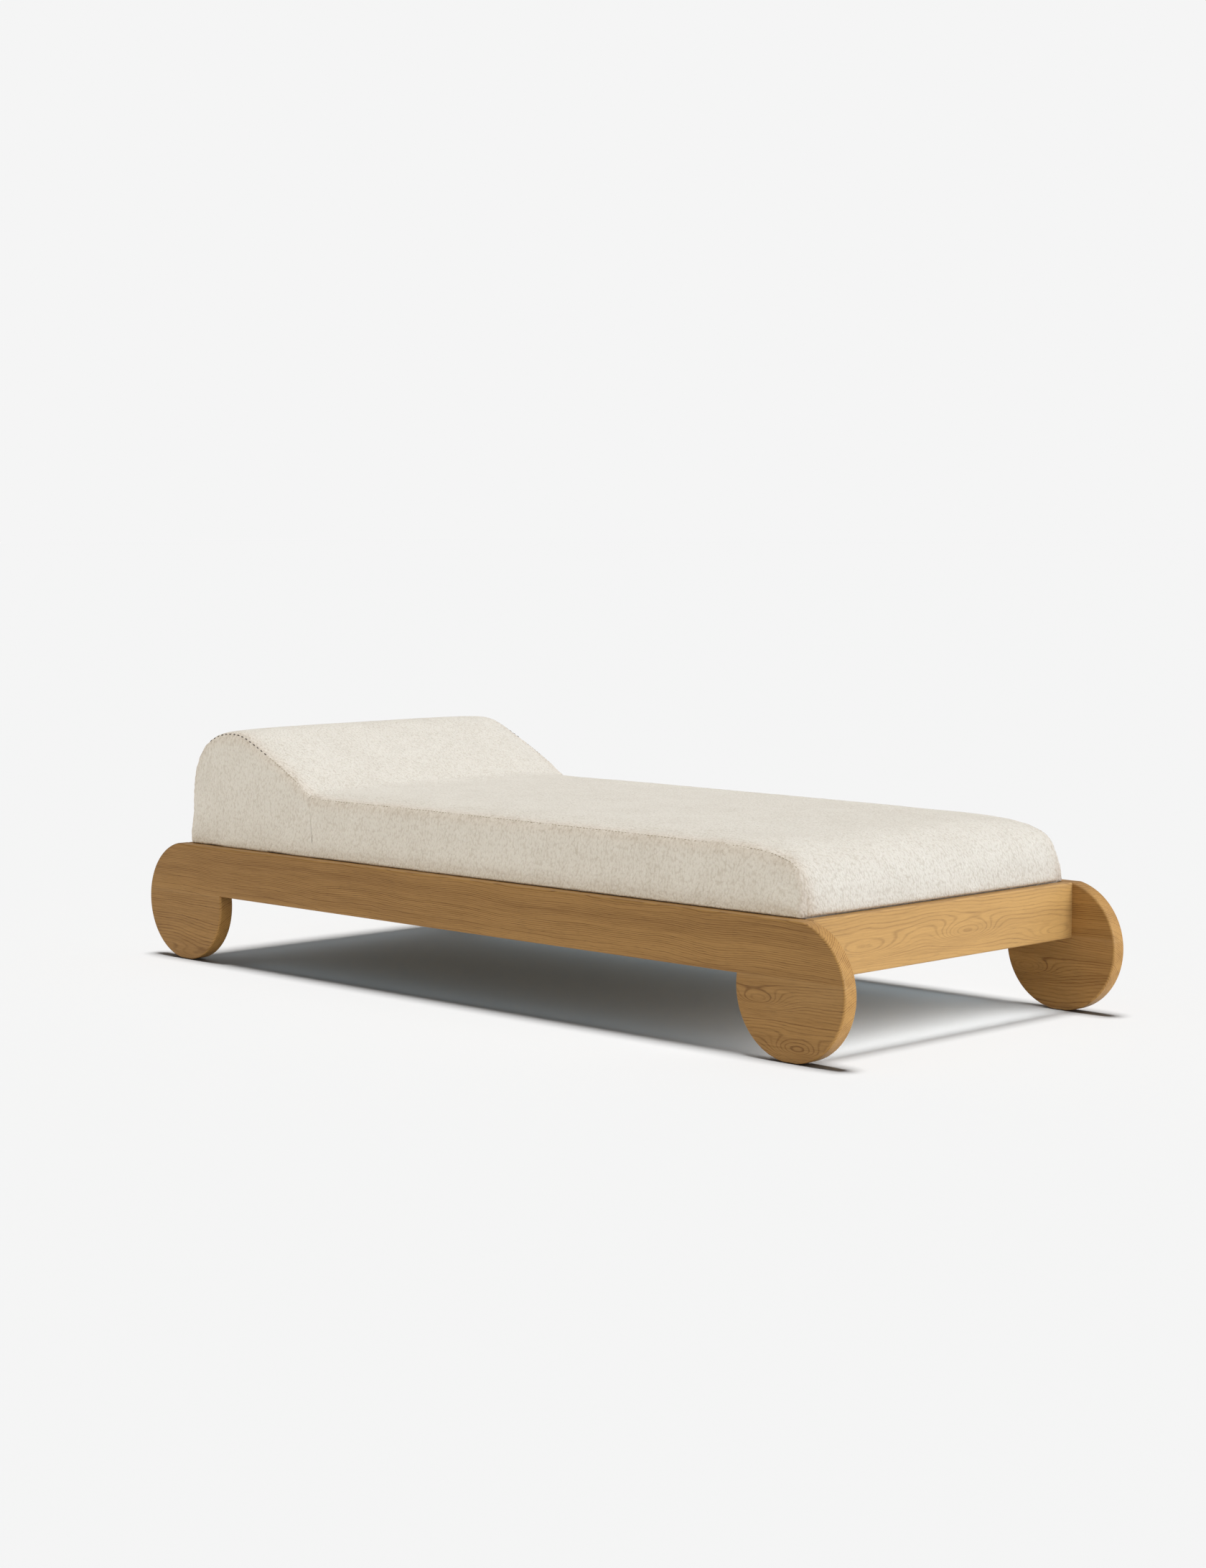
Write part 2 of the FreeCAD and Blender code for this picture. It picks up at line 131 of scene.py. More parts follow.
def oak(name, pith, turn, ring, wild, eyes=()):
    """Oiled white oak, planed, sanded and rounded over: satin, honey brown.

    Growth rings are tubes round a pith line, spaced ring apart and pushed about by
    up to wild; where the board's face cuts them flat they open into arches and eyes,
    and elsewhere they run straight.  Each ring starts with a dark porous line of its
    own strength, and short dark pores and pale fibres run along it.  Pores are drawn
    1.3 mm wide, coarser than real ones, so that they show.  Each of the eyes is a
    (centre, size, rise): there the rings bulge by rise times exp(-distance squared),
    the distance counted in sizes, and are cut as closed ovals.
    """
    material, tree = blank(name)
    where = add(tree, "TexCoord").outputs["Object"]
    log = add(tree, "Mapping", {"Vector": where, "Location": pith, "Rotation": turn}, vector_type="TEXTURE")
    drawn = {}
    for layer, along, across, detail, roughness in (
            ("swell", 4.2, 8.0, 1.0, 0.3),
            ("ripple", 22.0, 60.0, 1.0, 0.5),
            ("fibre", 8.0, 320.0, 4.0, 0.7),
            ("pore", 50.0, 760.0, 1.0, 0.5),
            ("band", 1.2, 34.0, 2.0, 0.5)):
        stretched = add(tree, "Mapping", {"Vector": log, "Scale": (along, across, across)})
        drawn[layer] = add(tree, "TexNoise", {"Vector": stretched, "Scale": 1.0, "Detail": detail,
                                              "Roughness": roughness})

    from_pith = add(tree, "Mapping", {"Vector": log, "Scale": (0.0, 1.0, 1.0)})
    depth = add(tree, "VectorMath", {0: from_pith}, operation="LENGTH").outputs["Value"]
    for layer, most in (("swell", 4 * wild), ("ripple", 1.6 * MM)):
        push = add(tree, "MapRange", {"Value": drawn[layer], 3: -most, 4: most})
        depth = add(tree, "Math", {0: depth, 1: push}, operation="ADD")
    for centre, size, rise in eyes:
        from_eye = add(tree, "Mapping", {"Vector": where, "Location": centre, "Scale": size},
                       vector_type="TEXTURE")
        square = add(tree, "VectorMath", {0: from_eye, 1: from_eye}, operation="DOT_PRODUCT")
        fall = add(tree, "Math", {0: square.outputs["Value"], 1: -1.0}, operation="MULTIPLY")
        bulge = add(tree, "Math", {0: fall}, operation="EXPONENT")
        raised = add(tree, "Math", {0: bulge, 1: rise}, operation="MULTIPLY")
        depth = add(tree, "Math", {0: depth, 1: raised}, operation="ADD")
    phase = add(tree, "Math", {0: depth, 1: ring}, operation="DIVIDE")
    number = add(tree, "Math", {0: phase}, operation="ROUND")
    signed = add(tree, "Math", {0: phase, 1: number}, operation="SUBTRACT")
    offset = add(tree, "Math", {0: signed}, operation="ABSOLUTE")
    line = add(tree, "MapRange", {"Value": offset, 1: 0.02, 2: 0.26, 3: 1.0, 4: 0.0},
               interpolation_type="SMOOTHSTEP")
    own = add(tree, "TexWhiteNoise", {"W": number}, noise_dimensions="1D")
    strength = add(tree, "MapRange", {"Value": own, 3: 0.15, 4: 1.0})
    rings = add(tree, "Math", {0: line, 1: strength}, operation="MULTIPLY")

    tone = add(tree, "Math", {0: rings, 1: 0.75}, operation="MULTIPLY")
    for layer, least, most in (("fibre", -0.20, 0.28), ("band", -0.05, 0.36)):
        shift = add(tree, "MapRange", {"Value": drawn[layer], 1: 0.3, 2: 0.7, 3: least, 4: most})
        tone = add(tree, "Math", {0: tone, 1: shift}, operation="ADD")
    base = add(tree, "ValToRGB", {"Fac": tone}, stops=[(0.0, "#b4864a"), (1.0, "#7f5526")])
    pores = add(tree, "MapRange", {"Value": drawn["pore"], 1: 0.56, 2: 0.66, 3: 0.0, 4: 0.42})
    crowding = add(tree, "Math", {0: rings, 1: 0.35}, operation="ADD")
    dash = add(tree, "Math", {0: pores, 1: crowding}, operation="MULTIPLY")
    speck = add(tree, "Mix", {"Factor": dash, "A": base, "B": colour("#5c3d1e")}, data_type="RGBA",
                clamp_factor=True)
    # Convex edges and roundovers turn lighter: partly rubbing wear, partly a painted highlight where the
    # edges catch the light.
    pointed = add(tree, "NewGeometry").outputs["Pointiness"]
    edge_wear_and_highlight = add(tree, "MapRange", {"Value": pointed, 1: 0.51, 2: 0.60, 3: 0.0, 4: 0.30})
    worn_and_highlit = add(tree, "Mix", {"Factor": edge_wear_and_highlight, "A": speck.outputs["Result"], "B": colour("#c9a26c")},
               data_type="RGBA")
    height = add(tree, "Math", {0: tone, 1: dash}, operation="ADD")
    bump = add(tree, "Bump", {"Strength": 0.3, "Distance": 0.25 * MM, "Height": height}, invert=True)
    gloss = add(tree, "MapRange", {"Value": drawn["fibre"], 1: 0.3, 2: 0.7, 3: 0.38, 4: 0.52})
    shader = add(tree, "BsdfPrincipled", {"Base Color": worn_and_highlit.outputs["Result"], "Roughness": gloss,
                                          "Specular IOR Level": 0.25, "Normal": bump, "IOR": 1.48})
    add(tree, "OutputMaterial", {"Surface": shader})
    return material


def raw_wood(name, light, dark, turn=(0.0, 0.0, 0.0)):
    """Planed softwood or beech without a finish: pale, soft long grain, matt."""
    material, tree = blank(name)
    where = add(tree, "TexCoord").outputs["Object"]
    log = add(tree, "Mapping", {"Vector": where, "Rotation": turn}, vector_type="TEXTURE")
    stretched = add(tree, "Mapping", {"Vector": log, "Scale": (4.0, 160.0, 160.0)})
    grain = add(tree, "TexNoise", {"Vector": stretched, "Scale": 1.0, "Detail": 4.0, "Roughness": 0.55})
    base = add(tree, "ValToRGB", {"Fac": grain}, stops=[(0.3, light), (0.72, dark)])
    bump = add(tree, "Bump", {"Strength": 0.2, "Distance": 0.2 * MM, "Height": grain})
    shader = add(tree, "BsdfPrincipled", {"Base Color": base, "Roughness": 0.62, "Normal": bump})
    add(tree, "OutputMaterial", {"Surface": shader})
    return material


def boucle(name):
    """Cream short-pile boucle: looped yarn nubs 4 to 5 mm wide with painted shade
    darkening the pits between them, drawn a little coarse so that they show, and a soft
    fuzz.  Beside the seams the pull of the thread opens the pile into coarser, pinker
    nubs with deeper painted shade between them.
    """
    material, tree = blank(name)
    where = add(tree, "TexCoord").outputs["Object"]
    jitter = add(tree, "TexNoise", {"Vector": where, "Scale": 160.0, "Detail": 2.0, "Roughness": 0.5})
    centred = add(tree, "VectorMath", {0: jitter.outputs["Color"], 1: (0.5, 0.5, 0.5)}, operation="SUBTRACT")
    push = add(tree, "VectorMath", {0: centred, "Scale": 5.0 * MM}, operation="SCALE")
    bent = add(tree, "VectorMath", {0: where, 1: push}, operation="ADD")
    standing = add(tree, "Mapping", {"Vector": bent, "Scale": (1.0, 1.0, 0.62)})
    fine, coarse = [add(tree, "TexVoronoi", {"Vector": standing, "Scale": 1 / size, "Smoothness": 0.3},
                        feature="SMOOTH_F1") for size in (4.4 * MM, 7.5 * MM)]
    beside = add(tree, "Attribute", attribute_name="beside_seam").outputs["Fac"]
    fuzz = add(tree, "TexNoise", {"Vector": where, "Scale": 620.0, "Detail": 3.0, "Roughness": 0.7})
    cloud = add(tree, "TexNoise", {"Vector": where, "Scale": 14.0, "Detail": 4.0, "Roughness": 0.6})
    upright = add(tree, "Mapping", {"Vector": where, "Scale": (140.0, 140.0, 12.0)})
    streak = add(tree, "TexNoise", {"Vector": upright, "Scale": 1.0, "Detail": 2.0})

    # Painted shade: the pits between the nubs are darkened in colour, and more so in the coarse pits beside
    # the seams.
    coarse_pit_shade_share = add(tree, "Math", {0: beside, 1: 0.20}, operation="MULTIPLY")
    pit_shades = []
    for nubs, rim, share in ((fine, 0.40, 0.26), (coarse, 0.48, coarse_pit_shade_share)):
        between = add(tree, "MapRange", {"Value": nubs, 1: rim, 2: 0.85}, interpolation_type="SMOOTHSTEP")
        pit_shades.append(add(tree, "Math", {0: between, 1: share}, operation="MULTIPLY"))
    total = add(tree, "Math", dict(enumerate(pit_shades)), operation="ADD")
    for layer, low, high, least, most in ((fuzz, 0.3, 0.75, -0.10, 0.18),
                                          (cloud, 0.3, 0.7, -0.04, 0.08),
                                          (streak, 0.35, 0.7, -0.03, 0.06)):
        shift = add(tree, "MapRange", {"Value": layer, 1: low, 2: high, 3: least, 4: most})
        total = add(tree, "Math", {0: total, 1: shift}, operation="ADD")
    # The ramp's dark end carries the painted shade of the pits and also the random tone shifts of fuzz,
    # cloud and streak.
    base = add(tree, "ValToRGB", {"Fac": total}, stops=[(0.0, "#efeae0"), (1.0, "#a8967e")])
    pinker = add(tree, "Math", {0: beside, 1: 0.25}, operation="MULTIPLY")
    blush = add(tree, "Mix", {"Factor": pinker, "A": base, "B": colour("#f6e6da")}, data_type="RGBA",
                blend_type="MULTIPLY")

    sunk = add(tree, "Math", {0: fine, 1: -1.0}, operation="MULTIPLY")
    hairs = add(tree, "Math", {0: fuzz, 1: 0.35}, operation="MULTIPLY")
    height = add(tree, "Math", {0: sunk, 1: hairs}, operation="ADD")
    looser = add(tree, "Math", {0: beside, 1: 0.7}, operation="MULTIPLY")
    deeper = add(tree, "Math", {0: coarse, 1: looser}, operation="MULTIPLY")
    height = add(tree, "Math", {0: height, 1: deeper}, operation="SUBTRACT")
    bump = add(tree, "Bump", {"Strength": 0.85, "Distance": 2.0 * MM, "Height": height})
    shader = add(tree, "BsdfPrincipled", {"Base Color": blush.outputs["Result"], "Roughness": 0.95,
                                          "Sheen Weight": 0.35, "Sheen Roughness": 0.6,
                                          "Specular IOR Level": 0.15, "Normal": bump})
    add(tree, "OutputMaterial", {"Surface": shader})
    return material


def plain(name, code, roughness, metallic=0.0, grain=0.0, scale=900.0):
    """Even finish, with a fine grain in its bump."""
    material, tree = blank(name)
    where = add(tree, "TexCoord").outputs["Object"]
    noise = add(tree, "TexNoise", {"Vector": where, "Scale": scale, "Detail": 3.0})
    tone = add(tree, "Mix", {"Factor": noise, "A": colour(code), "B": colour("#3c3830")}, data_type="RGBA")
    soften = add(tree, "Mix", {"Factor": 0.85, "A": tone.outputs["Result"], "B": colour(code)},
                 data_type="RGBA")
    bump = add(tree, "Bump", {"Strength": grain, "Distance": 0.1 * MM, "Height": noise})
    shader = add(tree, "BsdfPrincipled", {"Base Color": soften.outputs["Result"], "Roughness": roughness,
                                          "Metallic": metallic, "Normal": bump})
    add(tree, "OutputMaterial", {"Surface": shader})
    return material


# ---- mesh helpers ------------------------------------------------------------
def make_piece(name, points, faces, material, smooth=True):
    """Mesh object from an (n, 3) array and a list of faces."""
    mesh = bpy.data.meshes.new(name)
    mesh.from_pydata(points.tolist(), [], [tuple(int(i) for i in f) for f in faces])
    mesh.update()
    piece = bpy.data.objects.new(name, mesh)
    bpy.context.scene.collection.objects.link(piece)
    mesh.materials.append(material)
    mesh.polygons.foreach_set("use_smooth", [smooth] * len(mesh.polygons))
    return piece


def grid_faces(rows, columns, start=0, close_columns=False):
    """Quads of a grid whose point (i, j) has the index start + i * columns + j."""
    across = columns if close_columns else columns - 1
    i, j = np.meshgrid(np.arange(rows - 1), np.arange(across), indexing="ij")
    k = (j + 1) % columns
    quads = np.stack([i * columns + j, i * columns + k, (i + 1) * columns + k, (i + 1) * columns + j], -1)
    return quads.reshape(-1, 4) + start


def weld(piece, distance=1e-6):
    """Merges doubled points, so that seams and poles are closed, and turns faces outwards."""
    work = bmesh.new()
    work.from_mesh(piece.data)
    bmesh.ops.remove_doubles(work, verts=work.verts, dist=distance)
    bmesh.ops.recalc_face_normals(work, faces=work.faces)
    work.to_mesh(piece.data)
    work.free()
    piece.data.update()


# ---- oak sides -----------------------------------------------------------------
def side_outline():
    """Closed outline (x, z), anticlockwise seen from -Y: along the underside, round
    the foot-end disc, back along the top, round the head-end disc.

    A disc point is centre + R * (cos a, sin a), a running from the underside's
    height, past the flat on the floor, to the top's height.
    """
    under = math.asin((UNDERSIDE - FOOT_R) / FOOT_R)
    top = math.asin((RAIL_TOP - FOOT_R) / FOOT_R)
    flat = math.asin((FOOT_R - FOOT_FLAT) / FOOT_R)
    first = np.linspace(math.pi - under, 2 * math.pi - flat - 2 * (math.pi / 2 - flat), 60)
    second = np.linspace(2 * math.pi - flat, 2 * math.pi + top, 90)
    angle = np.concatenate([first, second])
    right = np.stack([FOOT_X + FOOT_R * np.cos(angle), FOOT_R + FOOT_R * np.sin(angle)], -1)
    left = right[::-1] * np.array([-1, 1])
    return np.concatenate([right, left])


def inward(outline):
    """Mitred inward direction at each point of an anticlockwise outline."""
    ahead = np.roll(outline, -1, 0) - outline
    ahead /= np.linalg.norm(ahead, axis=1, keepdims=True)
    normal = np.stack([-ahead[:, 1], ahead[:, 0]], -1)
    mean = normal + np.roll(normal, 1, 0)
    length = np.linalg.norm(mean, axis=1, keepdims=True)
    mean /= length
    return mean / np.clip((mean * normal).sum(1, keepdims=True), 0.5, 1)


def oak_side(side, label, board_oak, feet_oak):
    """One long side: the outline carried across the board's thickness, with a
    quarter-round of radius r on each long edge: inset r (1 - sin a), depth r (1 - cos a).
    It is then parted at the glue line over each foot.
    """
    outline = side_outline()
    toward = inward(outline)
    angles = np.linspace(0, math.pi / 2, 7)
    inset = ROUNDOVER * (1 - np.sin(angles))
    depth = ROUNDOVER * (1 - np.cos(angles))
    inset = np.concatenate([inset, inset[::-1]])
    depth = np.concatenate([depth, SIDE_T - depth[::-1]])
    rings = outline[None] + toward[None] * inset[:, None, None]
    y = -HALF_WIDTH + depth
    if side > 0:
        y = HALF_WIDTH - depth
    count = len(outline)
    points = np.stack([rings[..., 0], np.broadcast_to(y[:, None], rings.shape[:2]), rings[..., 1]], -1)
    faces = [list(f) for f in grid_faces(len(y), count, close_columns=True)]
    faces.append(list(range(count)))
    faces.append([(len(y) - 1) * count + i for i in range(count)][::-1])
    whole = make_piece("whole", points.reshape(-1, 3), faces, board_oak)
    weld(whole)
    parts = []
    for name, x_side, material, node in (
            (label + "_oak_board", 0, board_oak, label + "_side_board"),
            (label + "_head_oak_foot", -1, feet_oak[0], label + "_head_round_foot"),
            (label + "_foot_oak_foot", 1, feet_oak[1], label + "_foot_round_foot")):
        work = bmesh.new()
        work.from_mesh(whole.data)
        cuts = [((0, 0, UNDERSIDE), (0, 0, 1 if x_side else -1))]
        if x_side:
            cuts.append(((0, 0, 0), (-x_side, 0, 0)))
        for place, normal in cuts:
            everything = work.verts[:] + work.edges[:] + work.faces[:]
            found = bmesh.ops.bisect_plane(work, geom=everything, dist=1e-7, plane_co=place,
                                           plane_no=normal, clear_outer=True)
            edges = [e for e in found["geom_cut"]
                     if isinstance(e, bmesh.types.BMEdge) and len(e.link_faces) == 1]
            if edges:
                bmesh.ops.edgeloop_fill(work, edges=edges)
        bmesh.ops.recalc_face_normals(work, faces=work.faces)
        mesh = bpy.data.meshes.new(name)
        work.to_mesh(mesh)
        work.free()
        piece = bpy.data.objects.new(name, mesh)
        bpy.context.scene.collection.objects.link(piece)
        mesh.materials.append(material)
        mesh.polygons.foreach_set("use_smooth", [True] * len(mesh.polygons))
        mesh.set_sharp_from_angle(angle=math.radians(35))
        keep = piece.modifiers.new("even_faces", "WEIGHTED_NORMAL")
        keep.keep_sharp = True
        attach(piece, "frame")
        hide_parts(node)
        parts.append(piece)
    bpy.data.objects.remove(whole)
    return parts


# ---- cushion --------------------------------------------------------------------
PUFF = 6 * MM
CROWN = 5 * MM
LEAN = 13 * MM
SEAM_Y = SIDE_FACE - PUFF
TOE_X = span("cover_seat_panel")[0][0] + 4 * MM
CREST_START = HEAD_FACE + 0.055
CREST_END = HEAD_FACE + 0.275
COVER_GRID = (860, 250, 57)
COARSE_GRID = (110, 38, 9)


def smooth_path(points, count):
    """Catmull-Rom curve through the points, resampled at equal steps of its length."""
    p = np.asarray(points, float)
    p = np.vstack([2 * p[0] - p[1], p, 2 * p[-1] - p[-2]])
    steps_between = 40
    t = np.linspace(0, 1, steps_between, endpoint=False)[:, None]
    pieces = []
    for a, b, c, d in zip(p[:-3], p[1:-2], p[2:-1], p[3:]):
        pieces.append(0.5 * (2 * b + (c - a) * t + (2 * a - 5 * b + 4 * c - d) * t ** 2
                             + (3 * b - a - 3 * c + d) * t ** 3))
    fine = np.vstack(pieces + [p[-2][None]])
    length = np.concatenate([[0], np.cumsum(np.linalg.norm(np.diff(fine, axis=0), axis=1))])
    at = np.linspace(0, length[-1], count)
    return np.stack([np.interp(at, length, fine[:, k]) for k in range(2)], -1), at


def cushion_profile(count):
    """Seam line (x, z) over the top of the cushion, from the base of the head face,
    over the bolster's crest and down its slope, along the seat, to the foot face's base.
    """
    h, f, s, z0, rail = HEAD_FACE, FOOT_FACE, SEAT_Z, CUSHION_Z, RAIL_TOP
    points = [
        (HEAD_BASE, z0), (HEAD_BASE - 0.001, rail - 0.002), (h + 0.002, rail + 0.015),
        (h - 0.004, rail + 0.07), (h - 0.002, rail + 0.131), (h + 0.010, rail + 0.178),
        (h + 0.038, rail + 0.2205),
        (h + 0.084, rail + 0.2465), (h + 0.130, rail + 0.2550), (h + 0.172, rail + 0.2530),
        (h + 0.219, rail + 0.236), (h + 0.304, rail + 0.196), (h + 0.374, rail + 0.159),
        (h + 0.412, s - 0.001), (h + 0.450, s - 0.010), (-0.20, s - 0.010), (0.40, s - 0.013),
        (f - 0.225, s - 0.016), (f - 0.125, s - 0.019), (f - 0.062, s - 0.029), (f - 0.022, s - 0.047),
        (f - 0.004, s - 0.080), (f + 0.001, rail + 0.022), (f + 0.001, rail + 0.002), (f, z0)]
    return smooth_path(points, count)


def cushion_surfaces(n_u, n_v, n_w):
    """Band and side grids of the cover, without nap.

    Band: seam point (u) carried across (v).  At a distance d from the nearer seam it
    stands off by PUFF (1 - exp(-d / 9 mm)) + CROWN (1 - exp(-d / 90 mm)) along the
    outward normal, and the crease at the bolster's toe is eased the further in it is.
    Side: straight lines from the base line to the seam, pushed out along Y by
    PUFF (1 - exp(-d / 10 mm)), of which 0.35 between the boards, with a 1 mm groove
    where the two side panels join, and above the side boards, after a rise of 1.5 mm,
    by LEAN exp(-(height / 50 mm) squared) more.
    """
    seam, at = cushion_profile(n_u)
    step = at[1]
    ahead = np.gradient(seam, axis=0)
    ahead /= np.linalg.norm(ahead, axis=1, keepdims=True)
    outward = np.stack([-ahead[:, 1], ahead[:, 0]], -1)
    reach = int(0.09 / step)
    weights = np.exp(-0.5 * (np.arange(-reach, reach + 1) * step / 0.030) ** 2)
    weights /= weights.sum()
    padded = np.pad(seam, ((reach, reach), (0, 0)), mode="edge")
    eased = np.stack([np.convolve(padded[:, k], weights, mode="valid") for k in range(2)], -1)
    near_toe = np.exp(-((seam[:, 0] - TOE_X) / 0.11) ** 2) * (seam[:, 1] > RAIL_TOP + 0.1)

    even = np.linspace(0, 1, n_v)
    v = 0.4 * even + 0.6 * (0.5 - 0.5 * np.cos(math.pi * even))
    y = SEAM_Y * (2 * v - 1)
    edge = SEAM_Y - np.abs(y)
    lift = PUFF * (1 - np.exp(-edge / 0.009)) + CROWN * (1 - np.exp(-edge / 0.09))
    above = np.clip((seam[:, 1] - RAIL_TOP - 0.001) / 0.006, 0, 1)
    middle = eased[:, None] - seam[:, None]
    middle = middle * near_toe[:, None, None] * (1 - np.exp(-edge / 0.05))[None, :, None]
    section = seam[:, None] + middle + outward[:, None] * (lift[None, :] * above[:, None])[..., None]
    band = np.stack([section[..., 0], np.broadcast_to(y, (n_u, n_v)), section[..., 1]], -1)

    moved = np.abs(np.diff(seam[:, 0])) + 0.15 * np.linalg.norm(np.diff(seam, axis=0), axis=1)
    share = np.concatenate([[0], np.cumsum(moved)]) / moved.sum()
    base = np.stack([HEAD_BASE + (seam[-1, 0] - HEAD_BASE) * share, np.full(n_u, CUSHION_Z)], -1)
    rise = np.linalg.norm(seam - base, axis=1)[:, None]
    low = (n_w - 1) // 4
    sunk = np.clip((RAIL_TOP - CUSHION_Z) / np.maximum(rise, 0.001), 0, 0.8)
    up = np.linspace(0, 1, n_w - low)
    up = 0.4 * up + 0.6 * (0.5 - 0.5 * np.cos(math.pi * up))
    w = np.hstack([sunk * np.linspace(0, 1, low + 1)[None, :-1], sunk + (1 - sunk) * up[None]])
    flat = base[:, None] + (seam - base)[:, None] * w[:, :, None]
    above = np.clip(flat[..., 1] - RAIL_TOP, 0, None)
    over = np.clip(above / 0.0015, 0, 1)
    out = PUFF * (1 - np.exp(-rise * (1 - w) / 0.010)) * np.maximum(over, 0.35)
    out += LEAN * over * np.exp(-(above / 0.05) ** 2)
    groove = 1.0 * MM * np.exp(-((flat[..., 0] - TOE_X) / 0.0035) ** 2)
    out -= groove * np.clip(rise * (1 - w) / 0.01, 0, 1)
    sides = [np.stack([flat[..., 0], sign * (SEAM_Y + out), flat[..., 1]], -1) for sign in (-1, 1)]
    band_edge = np.broadcast_to(edge, (n_u, n_v))
    side_edge = np.minimum(rise * (1 - w), rise * w + 0.012)
    return [band, *sides], [band_edge, side_edge, side_edge], seam


def joined(surfaces):
    """One closed mesh from the band and side grids: points that coincide become one,
    and the bottom is closed by strips across and a cap at each end.  Returns points,
    faces and, for each grid point in turn, its place among the points."""
    n_u, n_v = surfaces[0].shape[:2]
    n_w = surfaces[1].shape[1]
    grid_points = np.concatenate([g.reshape(-1, 3) for g in surfaces])
    _, first, place = np.unique(np.round(grid_points / 1e-6).astype(np.int64), axis=0,
                                return_index=True, return_inverse=True)
    place = place.ravel()
    near, far = n_u * n_v, n_u * n_v + n_u * n_w
    band_faces = grid_faces(n_u, n_v)
    near_faces = grid_faces(n_u, n_w, near)[:, ::-1]
    far_faces = grid_faces(n_u, n_w, far)
    i = np.arange(1, n_u - 2)
    under = np.stack([near + i * n_w, near + (i + 1) * n_w, far + (i + 1) * n_w, far + i * n_w], -1)
    faces = place[np.concatenate([band_faces, near_faces, far_faces, under])].tolist()
    faces = [list(dict.fromkeys(f)) for f in faces]
    faces = [f for f in faces if len(f) > 2]
    head_cap = [near + n_w, far + n_w] + list(range(n_v - 1, -1, -1))
    foot_cap = [far + (n_u - 2) * n_w, near + (n_u - 2) * n_w] + list(range((n_u - 1) * n_v, n_u * n_v))
    faces += [list(dict.fromkeys(place[head_cap].tolist())), list(dict.fromkeys(place[foot_cap].tolist()))]
    return grid_points[first], faces, place


def stuffed(n_u, n_v, n_w, most=5 * MM):
    """How far the filling pushes a coarse cover off its cut shape: cloth under pressure,
    held along its base and at about half the places along its seams, by at most most.
    One displacement grid for each surface."""
    surfaces, edges, _ = cushion_surfaces(n_u, n_v, n_w)
    points, faces, place = joined(surfaces)
    piece = make_piece("stuffing", points, faces, cloth)
    weld(piece, 0)
    edge = np.empty(len(points))
    edge[place] = np.concatenate([e.ravel() for e in edges])
    held = np.where((edge < 1e-4) | (points[:, 2] < RAIL_TOP - 0.002), 1.0, 0.0)
    loose = rng.uniform(0, 1, len(points)) < 0.45
    held[(edge < 1e-4) & loose & (points[:, 2] > RAIL_TOP + 0.03)] = 0.0
    group = piece.vertex_groups.new(name="held")
    group.add(np.flatnonzero(held > 0).tolist(), 1.0, "REPLACE")
    cover = piece.modifiers.new("cover", "CLOTH")
    cover.settings.quality = 5
    cover.settings.mass = 0.3
    cover.settings.tension_stiffness = 20
    cover.settings.compression_stiffness = 20
    cover.settings.shear_stiffness = 8
    cover.settings.bending_stiffness = 2
    cover.settings.use_pressure = True
    cover.settings.uniform_pressure_force = 4
    cover.settings.vertex_group_mass = "held"
    cover.settings.effector_weights.gravity = 0
    cover.collision_settings.use_self_collision = False
    scene = bpy.context.scene
    steps = 20
    for number in range(1, steps + 1):
        scene.frame_set(number)
    done = piece.evaluated_get(bpy.context.evaluated_depsgraph_get()).to_mesh()
    moved = np.empty(len(points) * 3)
    done.vertices.foreach_get("co", moved)
    push = moved.reshape(-1, 3) - points
    length = np.linalg.norm(push, axis=1, keepdims=True)
    push *= most * np.tanh(length / most) / np.maximum(length, 1e-9)
    bpy.data.objects.remove(piece)
    scene.frame_set(1)
    push = push[place]
    cuts = np.cumsum([g.shape[0] * g.shape[1] for g in surfaces])[:-1]
    return [part.reshape(g.shape) for part, g in zip(np.split(push, cuts), surfaces)]


def resampled(grid, rows, columns):
    """Linear resampling of a grid of vectors to another number of rows and columns."""
    def along(values, count):
        at = np.linspace(0, len(values) - 1, count)
        low = np.minimum(at.astype(int), len(values) - 2)
        part = (at - low)[:, None, None]
        return values[low] * (1 - part) + values[low + 1] * part
    return along(along(grid, rows).transpose(1, 0, 2), columns).transpose(1, 0, 2)


def zip_placket(points):
    """1 along the zip on the far side, falling to 0 as exp(-(height off it / 9 mm) squared)."""
    low, high = ZIP_LOW, ZIP_HIGH
    level = np.exp(-((points[:, 2] - (low[2] + high[2]) / 2) / 0.009) ** 2)
    reach = 20 * MM
    ends = np.clip((points[:, 0] - low[0] + reach) / reach, 0, 1)
    ends = ends * np.clip((high[0] + reach - points[:, 0]) / reach, 0, 1)
    return level * ends * (points[:, 1] > SEAM_Y + 1 * MM)


